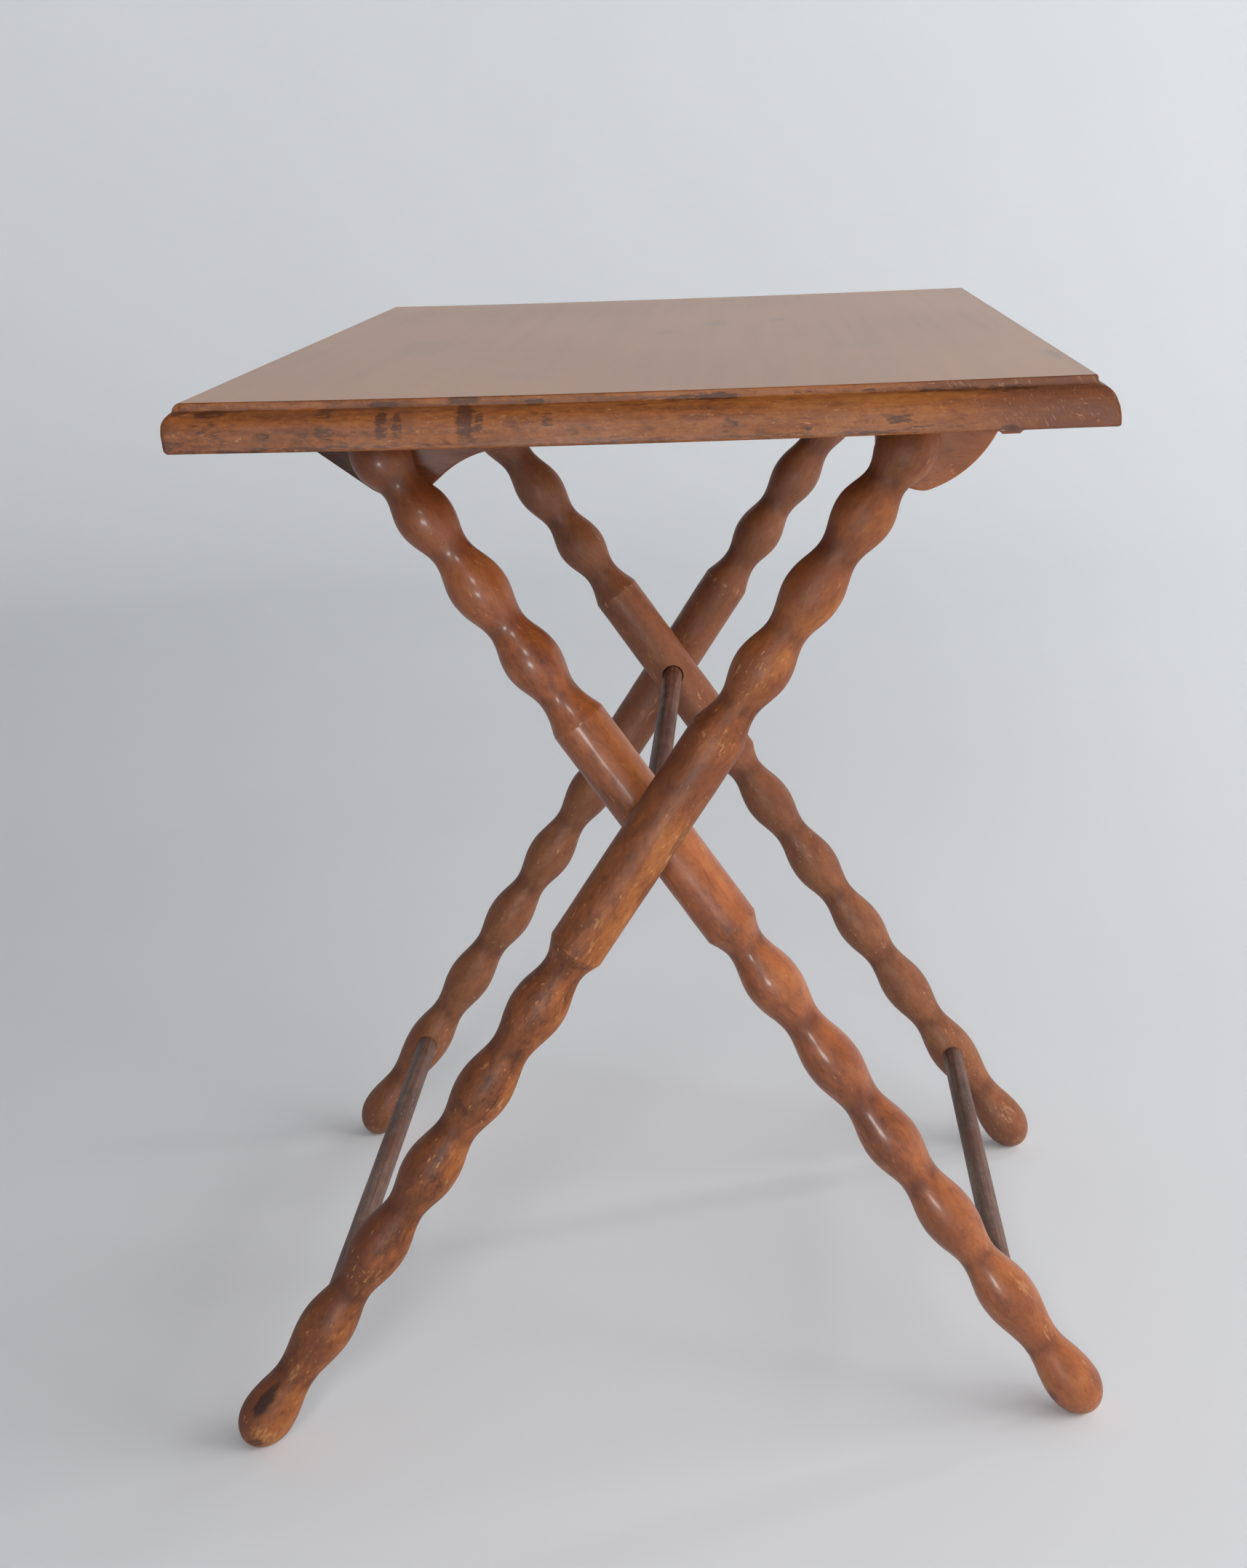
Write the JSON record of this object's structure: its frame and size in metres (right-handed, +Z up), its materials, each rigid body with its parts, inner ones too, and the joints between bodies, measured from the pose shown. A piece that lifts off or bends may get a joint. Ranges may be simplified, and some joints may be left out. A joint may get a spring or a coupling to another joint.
{
  "type": "folding table",
  "caption": "Folding occasional table: crossed bobbin-turned leg frames on a centre rod under a moulded board that tilts up as the frames close.",
  "frame": {"origin": "on the floor, under the middle of the table", "axes": "+Z up; +Y along the rods, from the front frame ends to the rear; +X across the frames, towards the outer frame's top end and its tilting hinge"},
  "size_m": [0.4962, 0.662, 0.606],
  "materials": {
    "board_wood": "waxed, satin, faded pinkish brown on top, orange-brown on the moulded edge",
    "leg_wood": "stained and polished red-brown, worn pale on the high places",
    "lug_wood": "stained red-brown, satin",
    "rod_wood": "dry grey-brown, weathered, matt",
    "screw_steel": "dull, oxidised"
  },
  "bodies": {
    "outer_frame": {"outer_leg_front": "leg_wood", "outer_leg_rear": "leg_wood", "centre_pivot_rod": "rod_wood", "outer_lower_rail": "rod_wood", "top_pivot_rod": "rod_wood"},
    "inner_frame": {"inner_leg_front": "leg_wood", "inner_leg_rear": "leg_wood", "inner_lower_rail": "rod_wood", "catch_rod": "rod_wood"},
    "top": {"table_top": "board_wood", "pivot_lug_front": "lug_wood", "pivot_lug_rear": "lug_wood", "catch_lug_front": "lug_wood", "catch_lug_rear": "lug_wood", "lug_screws": "screw_steel"}
  },
  "joints": [
    {"name": "frame_fold", "type": "hinge", "parent": "outer_frame", "child": "inner_frame", "pos_m": [0, 0, 0.36141], "axis": [0, 1, 0], "range_deg": [0, 56.4]},
    {"name": "top_tilt", "type": "hinge", "parent": "outer_frame", "child": "top", "pos_m": [0.13834, 0, 0.56651], "axis": [0, 1, 0], "range_deg": [0, 124.2]}
  ],
  "couplings": [
    {"joint": "top_tilt", "follows": "frame_fold", "ratio": 2.2}
  ]
}
